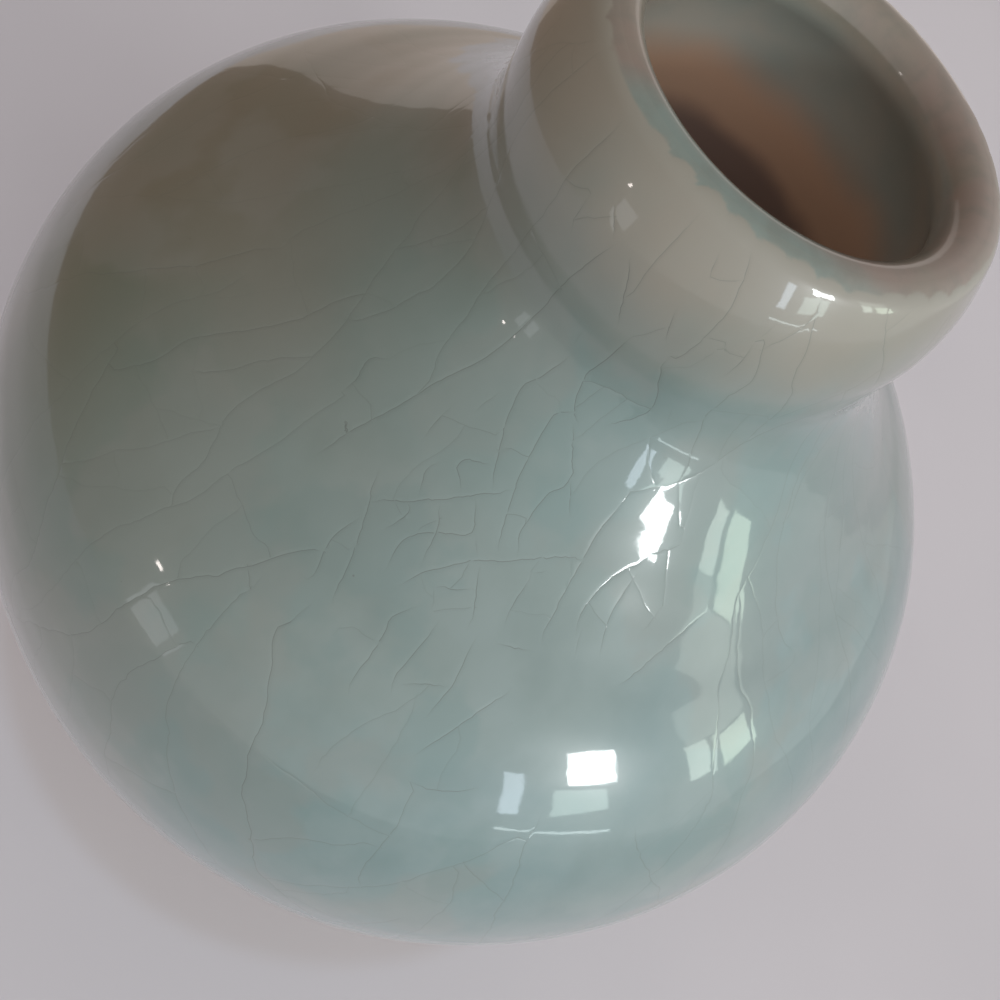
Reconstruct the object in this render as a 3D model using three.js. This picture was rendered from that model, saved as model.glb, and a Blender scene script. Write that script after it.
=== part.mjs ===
// Ceramic vase: a round glazed body with a short swelling neck and a thick rounded lip.
// Millimetres, +Z up. The origin is on the axis, in the plane that the foot ring stands on.
// The wall is made as in the real vase: clay sections luted together, with a coat of glaze on each side.
import * as THREE from "three";

// Outside of the glazed body: slopes are in degrees from level,
// and a sweep is how far the curve holds its direction there
const bellyRadius = 70;
const bellyHeight = 65;
const bellySweep = 34;
const shoulderRise = 52;
const shoulderSlope = 9;
const shoulderSweep = 30;
const heelSlope = 47;
const heelSweep = 18;

// Neck and lip: the rises are heights above the shoulder. The sweep of the crease spreads over the
// shoulder and rises up the neck, and the lute runs out at the same share of it from either end.
const neckRise = 29.1;
const neckWidestRise = 18.4;
const neckSwell = 2.4;
const neckRootDraw = 1.8;
const mouthRadius = 16.3;
const lipThickness = 6;
const creaseSpread = 23;
const creaseRise = 15;
const luteEnd = 0.19;
const throatBlend = 4;

// Wall, with both coats of glaze
const bodyWall = 6;
const heelWall = 9.5;
const floorThickness = 6.5;

// Foot ring
const footRadius = 32;
const footHeight = 6;
const footWidth = 6;
const footDraft = 1.2;
const footBevel = 0.9;
const footStep = 1;

// Glaze
const outerCoat = 0.8;
const linerCoat = 0.7;
const lipCoat = 0.45;
const baseCoat = 0.6;
const baseGlazeMargin = 0.5;
const creasePool = 0.4;
const rollSwell = 0.45;
const rollLength = 4;
const glazeLineRise = 1.6;

// Clearances: the film between touching pieces, and the line on the lip where the two coats meet
const seat = 0.3;
const coatMeeting = 0.3;

// Steps of the revolved outlines
const turnSteps = 36;
const rollSteps = 3;
const bowlSteps = 7;
const domeSteps = 6;
const creaseSteps = 6;
const bedSteps = 3;
const throatSteps = 3;
const neckSteps = 2;
const lipSteps = 4;
const floorSteps = 3;

// Derived sizes
const lipRadius = lipThickness / 2;
const lipCentreRadius = mouthRadius + lipRadius;
const neckRadius = mouthRadius + lipThickness + neckSwell;
const shoulderHeight = bellyHeight + shoulderRise;
const neckWidestHeight = shoulderHeight + neckWidestRise;
const lipCentreHeight = shoulderHeight + neckRise - lipRadius + (outerCoat - lipCoat);
const floorHeight = footHeight + floorThickness;
const glazeLineHeight = footHeight + glazeLineRise;
const clayDepth = outerCoat + seat;
const clayUnderLiner = linerCoat + seat;
const baseRadius = footRadius + footStep;

// A station is a point of an outline, r from the axis and z up, with the normal of the outside there.
const station = (r, z, normalR, normalZ) => {
  const length = Math.hypot(normalR, normalZ);
  return { r, z, normalR: normalR / length, normalZ: normalZ / length };
};

const shifted = (point, distance) => ({
  ...point,
  r: point.r + point.normalR * distance,
  z: point.z + point.normalZ * distance,
});

const evenly = (from, to, steps) =>
  Array.from({ length: steps + 1 }, (_, index) => from + ((to - from) * index) / steps);

// The share of the way from low to high at which a test turns from true to false.
const turningShare = (low, high, stillBefore) => {
  for (let halving = 0; halving < 50; halving += 1) {
    const middle = (low + high) / 2;
    if (stillBefore(middle)) low = middle;
    else high = middle;
  }
  return low;
};

// A cubic curve through four control points. Its normal is to the right of the way the curve runs.
const cubic = (start, first, second, end) => (share) => {
  const rest = 1 - share;
  const placeOf = (key) =>
    rest ** 3 * start[key] +
    3 * rest ** 2 * share * first[key] +
    3 * rest * share ** 2 * second[key] +
    share ** 3 * end[key];
  const slopeOf = (key) =>
    rest ** 2 * (first[key] - start[key]) +
    2 * rest * share * (second[key] - first[key]) +
    share ** 2 * (end[key] - second[key]);
  return station(placeOf("r"), placeOf("z"), slopeOf("z"), -slopeOf("r"));
};

// A point at a distance from another, in a direction given in degrees from level.
const fromPoint = (point, distance, degrees) => ({
  r: point.r + distance * Math.cos(THREE.MathUtils.degToRad(degrees)),
  z: point.z + distance * Math.sin(THREE.MathUtils.degToRad(degrees)),
});

// The body is one curve from foot to belly and one from belly to mouth, upright at the belly.
// The lower sweep there is worked out so that both bend alike at the belly, and the glaze shows no line.
const belly = { r: bellyRadius, z: bellyHeight };
const bowlFoot = {
  r: baseRadius + clayDepth / Math.sin(THREE.MathUtils.degToRad(heelSlope)),
  z: footHeight,
};
const domeTop = { r: mouthRadius, z: shoulderHeight };
const heelHandle = fromPoint(bowlFoot, heelSweep, heelSlope);
const shoulderHandle = fromPoint(domeTop, shoulderSweep, -shoulderSlope);
const lowerBellySweep =
  bellySweep * Math.sqrt((bellyRadius - heelHandle.r) / (bellyRadius - shoulderHandle.r));
const bowl = cubic(bowlFoot, heelHandle, { r: bellyRadius, z: bellyHeight - lowerBellySweep }, belly);
const dome = cubic(belly, { r: bellyRadius, z: bellyHeight + bellySweep }, shoulderHandle, domeTop);

const bowlShareAtHeight = (z) => turningShare(0, 1, (share) => bowl(share).z < z);

// The share of the dome at which its surface, set back into the wall by a depth, has a given radius.
const domeShareAtRadius = (r, depth) =>
  turningShare(0, 1, (share) => shifted(dome(share), -depth).r > r);

// The neck is two arcs in section that meet at its widest height.
// The upper one runs smoothly into the round lip, and the lower one draws in to the root.
const lipAboveWidest = lipCentreHeight - neckWidestHeight;
const upperArc = lipRadius + neckSwell / 2 + lipAboveWidest ** 2 / (2 * neckSwell);
const lowerArc = neckRootDraw / 2 + neckWidestRise ** 2 / (2 * neckRootDraw);
const neckTopAngle = Math.atan2(lipAboveWidest, lipCentreRadius - (neckRadius - upperArc));

const neckAt = (angle) => {
  const arc = angle > 0 ? upperArc : lowerArc;
  const r = neckRadius - arc + arc * Math.cos(angle);
  return station(r, neckWidestHeight + arc * Math.sin(angle), Math.cos(angle), Math.sin(angle));
};

const rootAngleAtHeight = (z, depth) => Math.asin((z - neckWidestHeight) / (lowerArc - depth));

const lipAt = (angle) => {
  const r = lipCentreRadius + lipRadius * Math.cos(angle);
  return station(r, lipCentreHeight + lipRadius * Math.sin(angle), Math.cos(angle), Math.sin(angle));
};

// The corner where shoulder and neck would meet, each set back into the wall by its depth.
const cornerAt = (domeDepth, neckDepth) => {
  const onDome = (share) => shifted(dome(share), -domeDepth);
  const neckRadiusAt = (z) => shifted(neckAt(rootAngleAtHeight(z, neckDepth)), -neckDepth).r;
  const outerShare = domeShareAtRadius(neckRadius, domeDepth);
  return onDome(turningShare(outerShare, 1, (share) => onDome(share).r > neckRadiusAt(onDome(share).z)));
};

// A smooth sweep round that corner, which spreads so far over the shoulder and rises so far up the neck.
const cornerSweep = (domeDepth, neckDepth, spread, rise, shares) => {
  const corner = cornerAt(domeDepth, neckDepth);
  const domeShare = domeShareAtRadius(corner.r + spread, domeDepth);
  const neckAngle = rootAngleAtHeight(corner.z + rise, neckDepth);
  const from = shifted(dome(domeShare), -domeDepth);
  const to = shifted(neckAt(neckAngle), -neckDepth);
  const inward = 0.55 * spread;
  const downward = 0.55 * rise;
  const sweep = cubic(
    from,
    { r: from.r - from.normalZ * inward, z: from.z + from.normalR * inward },
    { r: to.r + to.normalZ * downward, z: to.z - to.normalR * downward },
    to,
  );
  return { domeShare, neckAngle, stations: shares.map(sweep) };
};

// Joins stretches that each start where the one before ends.
const joined = (...stretches) => [stretches[0][0], ...stretches.flatMap((stretch) => stretch.slice(1))];

// Gives each station of a stretch its thickness of glaze.
const coated = (stations, coatAt) =>
  stations.map((point, index) => ({ ...point, coat: coatAt(index / (stations.length - 1)) }));

// The glaze is even on the body, thin on the lip, pooled in the crease of the neck,
// and gathered above the foot in a roll with a rounded lower edge.
const even = (coat) => () => coat;
const thinning = (coat) => (share) => coat + (lipCoat - coat) * share;
const pooled = (share) => outerCoat + creasePool * Math.sin(Math.PI * share) ** 2;
const rolled = (share) => outerCoat * Math.sqrt(Math.min(1, 0.2 + 2.4 * share)) + rollSwell * Math.sin(Math.PI * share);

const rollEdge = bowlShareAtHeight(glazeLineHeight);
const rollTop = bowlShareAtHeight(glazeLineHeight + rollLength);
const crestGap = coatMeeting / 2 / lipRadius;
const creaseShares = [0, ...evenly(luteEnd, 1 - luteEnd, creaseSteps), 1];
const crease = cornerSweep(0, 0, creaseSpread, creaseRise, creaseShares);
const throatShares = evenly(0, 1, throatSteps);
const throat = cornerSweep(bodyWall, lipThickness, throatBlend, throatBlend, throatShares);

const rollStretch = evenly(rollEdge, rollTop, rollSteps).map(bowl);
const bowlStretch = evenly(rollTop, 1, bowlSteps).map(bowl);
const domeStretch = evenly(0, crease.domeShare, domeSteps).map(dome);
const neckAngles = (rootAngle) => joined(evenly(rootAngle, 0, neckSteps), evenly(0, neckTopAngle, neckSteps));
const neckStretch = neckAngles(crease.neckAngle).map(neckAt);
const lipOutside = evenly(neckTopAngle, Math.PI / 2 - crestGap, lipSteps).map(lipAt);

// Outside of the glazed vase, from the glaze line above the foot to the crest of the lip
const outside = joined(
  coated(rollStretch, rolled),
  coated(bowlStretch, even(outerCoat)),
  coated(domeStretch, even(outerCoat)),
  coated(crease.stations, pooled),
  coated(neckStretch, even(outerCoat)),
  coated(lipOutside, thinning(outerCoat)),
);

// Inside of the glazed vase, from the middle of the floor to the crest of the lip.
// Its normals point into the wall, as those of the outside point out of it.
const wallAt = (share) => bodyWall + (heelWall - bodyWall) * (1 - share) ** 2;
const bowlInside = evenly(rollEdge, 1, bowlSteps).map((share) => shifted(bowl(share), -wallAt(share)));
const heel = bowlInside[0];
const floorEdge = heel.r + ((heel.z - floorHeight) * heel.normalZ) / heel.normalR;
const floorCurve = cubic(
  { r: 0, z: floorHeight },
  { r: floorEdge / 2, z: floorHeight },
  { r: floorEdge, z: floorHeight },
  heel,
);
const floorInside = evenly(0, 1, floorSteps).map(floorCurve);
const domeInside = evenly(0, throat.domeShare, domeSteps).map((share) => shifted(dome(share), -bodyWall));
const boreInside = neckAngles(throat.neckAngle).map((angle) => shifted(neckAt(angle), -lipThickness));
const lipInside = evenly(neckTopAngle + Math.PI, Math.PI / 2 + crestGap, lipSteps)
  .map(lipAt)
  .map((point) => station(point.r, point.z, -point.normalR, -point.normalZ));

const inside = joined(
  coated(joined(floorInside, bowlInside, domeInside), even(linerCoat)),
  coated(throat.stations, even(linerCoat)),
  coated(boreInside, even(linerCoat)),
  coated(lipInside, thinning(linerCoat)),
);

// Faces of the clay under the glaze. The outer one keeps the plain corner that the lute fills,
// and the bed is the part of the shoulder between there and the end of the sweep.
const clayCorner = cornerAt(clayDepth, clayDepth);
const bedStretch = evenly(crease.domeShare, domeShareAtRadius(clayCorner.r, clayDepth), bedSteps).map(dome);
const clayBelowCrease = joined(rollStretch, bowlStretch, domeStretch, bedStretch).map((point) =>
  shifted(point, -clayDepth),
);
const clayAboveCrease = joined(neckStretch, lipOutside).map((point) => shifted(point, -clayDepth));
const clayInside = inside.map((point) => shifted(point, clayUnderLiner));

const crossing = (low, high, z) => {
  const share = (z - low.z) / (high.z - low.z);
  return { r: low.r + (high.r - low.r) * share, z };
};

// The part of a rising line above or below a height, cut exactly there.
const above = (line, z) => {
  const first = line.findIndex((point) => point.z > z);
  return first > 0 ? [crossing(line[first - 1], line[first], z), ...line.slice(first)] : line;
};

const below = (line, z) => {
  const first = line.findIndex((point, index) => point.z > z && index > 0 && line[index - 1].z <= z);
  return [...line.slice(0, first), crossing(line[first - 1], line[first], z)];
};

// Materials, from the photograph; bare clay as it is usual under this glaze
const clay = new THREE.MeshStandardMaterial({ color: "#b7a898", roughness: 0.9, metalness: 0 });
const burntClay = new THREE.MeshStandardMaterial({ color: "#8a5a3f", roughness: 0.85, metalness: 0 });
const slip = new THREE.MeshStandardMaterial({ color: "#a99a8b", roughness: 0.9, metalness: 0 });
const celadon = new THREE.MeshStandardMaterial({ color: "#8fa59b", roughness: 0.12, metalness: 0 });
const linerGlaze = new THREE.MeshStandardMaterial({ color: "#7d8a7c", roughness: 0.18, metalness: 0 });

const vase = new THREE.Group();

// Turns a closed outline, given as points that run round it counterclockwise, into a named solid.
const revolve = (name, material, outline) => {
  const last = outline[outline.length - 1];
  const closed = outline[0].r === 0 && last.r === 0 ? outline : [...outline, outline[0]];
  const points = closed.map((point) => new THREE.Vector2(point.r, point.z));
  const geometry = new THREE.LatheGeometry(points, turnSteps).rotateX(Math.PI / 2);
  const mesh = new THREE.Mesh(geometry, material);
  mesh.name = name;
  vase.add(mesh);
};

const between = (outer, inner) => [...outer, ...[...inner].reverse()];

const footRing = () => {
  const top = footHeight - seat;
  const outerFoot = footRadius - footDraft;
  const innerFoot = outerFoot - footWidth;
  return [
    { r: innerFoot + footBevel, z: 0 },
    { r: outerFoot - footBevel, z: 0 },
    { r: outerFoot, z: footBevel },
    { r: footRadius, z: top },
    { r: innerFoot - footDraft, z: top },
    { r: innerFoot, z: footBevel },
  ];
};

const lowerBody = () => {
  const base = [{ r: 0, z: footHeight }, { r: baseRadius, z: footHeight }];
  return between([...base, ...below(clayBelowCrease, bellyHeight)], below(clayInside, bellyHeight));
};

const upperBody = () => {
  const base = bellyHeight + seat;
  const outer = above(clayBelowCrease, base);
  return between(outer, below(above(clayInside, base), clayCorner.z));
};

const neckCollar = () => {
  const base = clayCorner.z + seat;
  return between(above([clayCorner, ...clayAboveCrease], base), above(clayInside, base));
};

const neckLute = () => {
  const face = crease.stations.slice(1, -1).map((point) => shifted(point, -clayDepth));
  const underside = bedStretch.slice(1, -1).map((point) => shifted(point, -outerCoat));
  const onShoulder = dome(domeShareAtRadius(face[0].r, outerCoat));
  const onNeck = neckAt(rootAngleAtHeight(face[face.length - 1].z, outerCoat));
  return [
    cornerAt(outerCoat, outerCoat),
    ...underside.filter((point) => point.r < face[0].r).reverse(),
    shifted(onShoulder, -outerCoat),
    ...face,
    shifted(onNeck, -outerCoat),
  ];
};

const outerGlaze = () => {
  const face = outside.map((point) => shifted(point, point.coat - outerCoat));
  return between(face, outside.map((point) => shifted(point, -outerCoat)));
};

const linerGlazeCoat = () => {
  const back = inside.map((point) => shifted(point, linerCoat));
  return between(back, inside.map((point) => shifted(point, linerCoat - point.coat)));
};

const baseGlaze = () => {
  const top = footHeight - seat;
  const edge = footRadius - 2 * footDraft - footWidth - baseGlazeMargin;
  return [
    { r: 0, z: top - baseCoat },
    { r: edge - baseCoat, z: top - baseCoat },
    { r: edge, z: top },
    { r: 0, z: top },
  ];
};

revolve("foot_ring", burntClay, footRing());
revolve("lower_body", clay, lowerBody());
revolve("upper_body", clay, upperBody());
revolve("neck_collar", clay, neckCollar());
revolve("neck_lute", slip, neckLute());
revolve("outer_glaze", celadon, outerGlaze());
revolve("liner_glaze", linerGlaze, linerGlazeCoat());
revolve("base_glaze", celadon, baseGlaze());

export default vase;
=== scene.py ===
"""Looks for a round celadon vase: glazed skins with a real crackle, bare clay, table, light and camera."""

import math
import random

import bpy
import numpy as np
from mathutils import Matrix, Vector
from mathutils.geometry import delaunay_2d_cdt
from mathutils.kdtree import KDTree


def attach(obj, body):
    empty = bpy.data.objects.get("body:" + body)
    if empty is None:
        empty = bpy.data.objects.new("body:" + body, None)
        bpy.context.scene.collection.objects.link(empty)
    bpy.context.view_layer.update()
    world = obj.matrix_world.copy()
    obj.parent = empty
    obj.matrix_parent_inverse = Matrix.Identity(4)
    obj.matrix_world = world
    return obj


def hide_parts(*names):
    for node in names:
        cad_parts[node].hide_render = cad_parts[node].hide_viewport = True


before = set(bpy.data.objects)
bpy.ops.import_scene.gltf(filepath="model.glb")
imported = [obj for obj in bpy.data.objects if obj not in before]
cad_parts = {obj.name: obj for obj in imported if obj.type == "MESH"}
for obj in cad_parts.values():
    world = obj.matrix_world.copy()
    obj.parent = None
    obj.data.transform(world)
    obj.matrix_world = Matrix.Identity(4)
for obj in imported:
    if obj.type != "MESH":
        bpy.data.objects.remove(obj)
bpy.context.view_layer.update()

MM = 0.001

# Sizes of the CAD part, in millimetres and degrees
BELLY_RADIUS = 70
BELLY_HEIGHT = 65
BELLY_SWEEP = 34
SHOULDER_RISE = 52
SHOULDER_SLOPE = 9
SHOULDER_SWEEP = 30
HEEL_SLOPE = 47
HEEL_SWEEP = 18
NECK_RISE = 29.1
NECK_WIDEST_RISE = 18.4
NECK_SWELL = 2.4
NECK_ROOT_DRAW = 1.8
MOUTH_RADIUS = 16.3
LIP_THICKNESS = 6
CREASE_SPREAD = 23
CREASE_RISE = 15
THROAT_BLEND = 4
BODY_WALL = 6
HEEL_WALL = 9.5
FLOOR_THICKNESS = 6.5
FOOT_RADIUS = 32
FOOT_HEIGHT = 6
FOOT_WIDTH = 6
FOOT_DRAFT = 1.2
FOOT_BEVEL = 0.9
FOOT_STEP = 1
OUTER_COAT = 0.8
LINER_COAT = 0.7
LIP_COAT = 0.45
BASE_COAT = 0.6
BASE_GLAZE_MARGIN = 0.5
CREASE_POOL = 0.4
ROLL_SWELL = 0.45
ROLL_LENGTH = 4
GLAZE_LINE_RISE = 1.6
SEAT = 0.3

# Derived sizes, as in the CAD part
LIP_RADIUS = LIP_THICKNESS / 2
LIP_CENTRE_RADIUS = MOUTH_RADIUS + LIP_RADIUS
NECK_RADIUS = MOUTH_RADIUS + LIP_THICKNESS + NECK_SWELL
SHOULDER_HEIGHT = BELLY_HEIGHT + SHOULDER_RISE
NECK_WIDEST_HEIGHT = SHOULDER_HEIGHT + NECK_WIDEST_RISE
LIP_THINNING = OUTER_COAT - LIP_COAT
LIP_CENTRE_HEIGHT = SHOULDER_HEIGHT + NECK_RISE - LIP_RADIUS + LIP_THINNING
FLOOR_HEIGHT = FOOT_HEIGHT + FLOOR_THICKNESS
GLAZE_LINE_HEIGHT = FOOT_HEIGHT + GLAZE_LINE_RISE
CLAY_DEPTH = OUTER_COAT + SEAT
CLAY_UNDER_LINER = LINER_COAT + SEAT
BASE_RADIUS = FOOT_RADIUS + FOOT_STEP

# Fine shape of the glaze and the foot, in millimetres and counts. The undulation only goes inwards.
SKIN_SPACING = 1.1
EDGE_SPACING = 0.35
CREASE_SPACING = 0.6
FINE_LOWER_EDGE = 3
FINE_LIP = 4
SKIN_COLUMNS = 400
BACK_RINGS = 28
UNDULATION = 0.05
UNDULATION_LENGTHS = (52, 29, 17)
UNDULATION_SINK = 3 * UNDULATION
EDGE_FADE = 6
THROWING_DEPTH = 0.012
THROWING_PITCH = 5.5
THICKNESS_DRIFT = 0.09
GLAZE_LINE_WAVE = 0.45
GLAZE_LINE_REACH = 4
LIP_LOBES = 46
LIP_LOBE_DROP = 2
LIP_LOBE_DEPTH = 0.8
LIP_LOBE_STEP = 0.06
LIP_LOBE_SLOPE = 0.8
LIP_LOBE_DRIFT = 0.3
LIP_LOBE_BLUR = 0.35
CREST_OVERLAP = 0.7
CREST_DIP = 0.03
FOOT_RELIEF = 0.06

# Size of the crackle, in millimetres
CRACK_STEP = 0.6
CRACK_HALF_WIDTH = 0.07
CRACK_DEPTH = 0.02
CRACK_SHOULDER = 0.45
CRACK_SAG = 0.009
CRACK_WOBBLE = 0.075
CRACK_TAPER = 3
CRACK_MARGIN = 2.5
FLECK_STEP = 0.2

# Habits of the crackle: shares, angles in radians and counts of points
CRACK_SEED = 11
WOBBLE_KEPT = 0.7
SWERVE = 0.09
SWERVE_KEPT = 0.93
LONG_SPREAD = 0.4
CROSS_SPREAD = 0.25
LONG_LEAST_POINTS = 12
CROSS_LEAST_POINTS = 4
LONG_STRENGTHS = (0.6, 1)
CROSS_STRENGTHS = (0.3, 0.75)
FLECK_STRENGTH = 5
OPEN_END_STRENGTH = 0.15
FAR_SIDE_STRENGTH = 0.4
FRONT_AZIMUTH = 0.2
FRONT_WIDTH = 1.1
NARROWEST_CRACK = 0.35

# Camera, as fitted to the outlines in the photograph: distance in belly radii, angles in degrees
CAMERA_DISTANCE = 2.0901
CAMERA_ELEVATION = 56.9902
CAMERA_ROLL = 42.2968
CAMERA_YAW = -2.5445
CAMERA_PITCH = 0.5980
LENS = 32.4
SENSOR = 36
PICTURE_SIDE = 1000

# Where along a line of sight the search for the glaze starts, and its steps, in millimetres
SIGHT_START = 40
SIGHT_STEP = 0.5

# Table and lamps, in metres and degrees
TABLE_RADIUS = 0.9
TABLE_SHIFT = 0.6
TABLE_SHIFT_AZIMUTH = 75
TABLE_SIDES = 128
LAMP_DISTANCE = 1.5

# Columns of a station: radius, height, the normal of the outside there and the coat of glaze
R, Z, NR, NZ, COAT = range(5)
SAMPLES = 160
shares = np.linspace(0, 1, SAMPLES)


def stations(r, z, normal_r, normal_z):
    """Rows of stations from columns."""
    length = np.hypot(normal_r, normal_z)
    return np.stack([r, z, normal_r / length, normal_z / length], axis=1)


def shifted(rows, distance):
    """The stations moved along their normals."""
    moved = rows.copy()
    moved[:, R] += rows[:, NR] * distance
    moved[:, Z] += rows[:, NZ] * distance
    return moved


def cubic(start, first, second, end):
    """A cubic curve through four control points, as a function from shares to stations."""
    control = np.array([start, first, second, end], float)

    def at(share):
        share = np.atleast_1d(np.asarray(share, float))[:, None]
        rest = 1 - share
        place = (
            rest**3 * control[0] + 3 * rest**2 * share * control[1]
            + 3 * rest * share**2 * control[2] + share**3 * control[3]
        )
        slope = (
            rest**2 * (control[1] - control[0]) + 2 * rest * share * (control[2] - control[1])
            + share**2 * (control[3] - control[2])
        )
        return stations(place[:, 0], place[:, 1], slope[:, 1], -slope[:, 0])

    return at


def turning_share(low, high, still_before):
    """The share between low and high at which a test turns from true to false."""
    for _ in range(50):
        middle = (low + high) / 2
        if still_before(middle):
            low = middle
        else:
            high = middle
    return low


def from_point(point, distance, degrees):
    """A point at a distance from another, in a direction given in degrees from level."""
    angle = math.radians(degrees)
    return (point[0] + distance * math.cos(angle), point[1] + distance * math.sin(angle))


# The body, one curve from foot to belly and one from belly to mouth
belly = (BELLY_RADIUS, BELLY_HEIGHT)
bowl_foot = (BASE_RADIUS + CLAY_DEPTH / math.sin(math.radians(HEEL_SLOPE)), FOOT_HEIGHT)
dome_top = (MOUTH_RADIUS, SHOULDER_HEIGHT)
heel_handle = from_point(bowl_foot, HEEL_SWEEP, HEEL_SLOPE)
shoulder_handle = from_point(dome_top, SHOULDER_SWEEP, -SHOULDER_SLOPE)
lower_sweep = BELLY_SWEEP * math.sqrt(
    (BELLY_RADIUS - heel_handle[0]) / (BELLY_RADIUS - shoulder_handle[0])
)
bowl = cubic(bowl_foot, heel_handle, (BELLY_RADIUS, BELLY_HEIGHT - lower_sweep), belly)
dome = cubic(belly, (BELLY_RADIUS, BELLY_HEIGHT + BELLY_SWEEP), shoulder_handle, dome_top)


def bowl_share_at_height(z):
    return turning_share(0, 1, lambda share: bowl(share)[0, Z] < z)


def dome_share_at_radius(r, depth):
    return turning_share(0, 1, lambda share: shifted(dome(share), -depth)[0, R] > r)


# The neck, two arcs that meet at its widest height, and the round lip
lip_above_widest = LIP_CENTRE_HEIGHT - NECK_WIDEST_HEIGHT
upper_arc = LIP_RADIUS + NECK_SWELL / 2 + lip_above_widest**2 / (2 * NECK_SWELL)
lower_arc = NECK_ROOT_DRAW / 2 + NECK_WIDEST_RISE**2 / (2 * NECK_ROOT_DRAW)
neck_top_angle = math.atan2(lip_above_widest, LIP_CENTRE_RADIUS - (NECK_RADIUS - upper_arc))
crest_angle = math.pi / 2
overlap_angle = CREST_OVERLAP / LIP_RADIUS


def arc(centre_radius, centre_height, radius, angle):
    """Stations on a round arc, at angles up from level."""
    angle = np.atleast_1d(np.asarray(angle, float))
    cosine, sine = np.cos(angle), np.sin(angle)
    return stations(centre_radius + radius * cosine, centre_height + radius * sine, cosine, sine)


def neck_at(angle):
    radius = np.where(np.asarray(angle) > 0, upper_arc, lower_arc)
    return arc(NECK_RADIUS - radius, NECK_WIDEST_HEIGHT, radius, angle)


def lip_at(angle):
    return arc(LIP_CENTRE_RADIUS, LIP_CENTRE_HEIGHT, LIP_RADIUS, angle)


def root_angle_at_height(z, depth):
    return math.asin((z - NECK_WIDEST_HEIGHT) / (lower_arc - depth))


def corner_at(dome_depth, neck_depth):
    """The corner where shoulder and neck would meet, each set back by its depth."""
    def on_dome(share):
        return shifted(dome(share), -dome_depth)[0]

    def neck_radius_at(z):
        return shifted(neck_at(root_angle_at_height(z, neck_depth)), -neck_depth)[0, R]

    outer_share = dome_share_at_radius(NECK_RADIUS, dome_depth)
    share = turning_share(
        outer_share, 1, lambda share: on_dome(share)[R] > neck_radius_at(on_dome(share)[Z])
    )
    return on_dome(share)


def corner_sweep(dome_depth, neck_depth, spread, rise):
    """Where a sweep round their corner leaves the dome and joins the neck, and the sweep."""
    corner = corner_at(dome_depth, neck_depth)
    dome_share = dome_share_at_radius(corner[R] + spread, dome_depth)
    neck_angle = root_angle_at_height(corner[Z] + rise, neck_depth)
    start = shifted(dome(dome_share), -dome_depth)[0]
    end = shifted(neck_at(neck_angle), -neck_depth)[0]
    inward = 0.55 * spread
    downward = 0.55 * rise
    sweep = cubic(
        start[:2],
        (start[R] - start[NZ] * inward, start[Z] + start[NR] * inward),
        (end[R] + end[NZ] * downward, end[Z] - end[NR] * downward),
        end[:2],
    )
    return dome_share, neck_angle, sweep


def between(low, high):
    return low + (high - low) * shares


def coated(rows, coat):
    """Stations with their thickness of glaze."""
    return np.column_stack([rows[:, :4], np.broadcast_to(coat, len(rows))])


def over_lip(start_angle, end_angle, coat):
    """A coat round the lip: it thins to the crest, and past it dips under the other coat."""
    to_crest = (crest_angle - start_angle) / (end_angle - start_angle)
    thinning = np.minimum(1, shares / to_crest)
    dipping = np.maximum(0, (shares - to_crest) / (1 - to_crest))
    coat = coat - LIP_THINNING * thinning - CREST_DIP * dipping
    return coated(lip_at(between(start_angle, end_angle)), coat)


def along(rows):
    """The stations without repeats, and the length of the outline up to each."""
    steps = np.hypot(*np.diff(rows[:, :2], axis=0).T)
    keep = np.concatenate([[True], steps > 1e-6])
    length = np.concatenate([[0], np.cumsum(steps)])
    return rows[keep], length[keep]


def resampled(rows, length, places):
    return np.stack([np.interp(places, length, column) for column in rows.T], axis=1)


roll_edge = bowl_share_at_height(GLAZE_LINE_HEIGHT)
roll_top = bowl_share_at_height(GLAZE_LINE_HEIGHT + ROLL_LENGTH)
crease_share, crease_angle, crease = corner_sweep(0, 0, CREASE_SPREAD, CREASE_RISE)
throat_share, throat_angle, throat = corner_sweep(BODY_WALL, LIP_THICKNESS, THROAT_BLEND, THROAT_BLEND)
roll_coat = OUTER_COAT * np.sqrt(np.minimum(1, 0.2 + 2.4 * shares)) + ROLL_SWELL * np.sin(np.pi * shares)
crease_coat = OUTER_COAT + CREASE_POOL * np.sin(np.pi * shares) ** 2

# Outside of the glazed vase, from the glaze line above the foot to just past the crest of the lip
outside, outside_length = along(np.vstack([
    coated(bowl(between(roll_edge, roll_top)), roll_coat),
    coated(bowl(between(roll_top, 1)), OUTER_COAT),
    coated(dome(between(0, crease_share)), OUTER_COAT),
    coated(crease(shares), crease_coat),
    coated(neck_at(between(crease_angle, neck_top_angle)), OUTER_COAT),
    over_lip(neck_top_angle, crest_angle + overlap_angle, OUTER_COAT),
]))
skin_length = outside_length[-1]
crest_length = skin_length - CREST_OVERLAP
rising = slice(0, int(np.argmax(outside[:, Z])) + 1)
crease_heights = crease([0, 1])[:, Z]
crease_start, crease_end = np.interp(crease_heights, outside[rising, Z], outside_length[rising])

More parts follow.
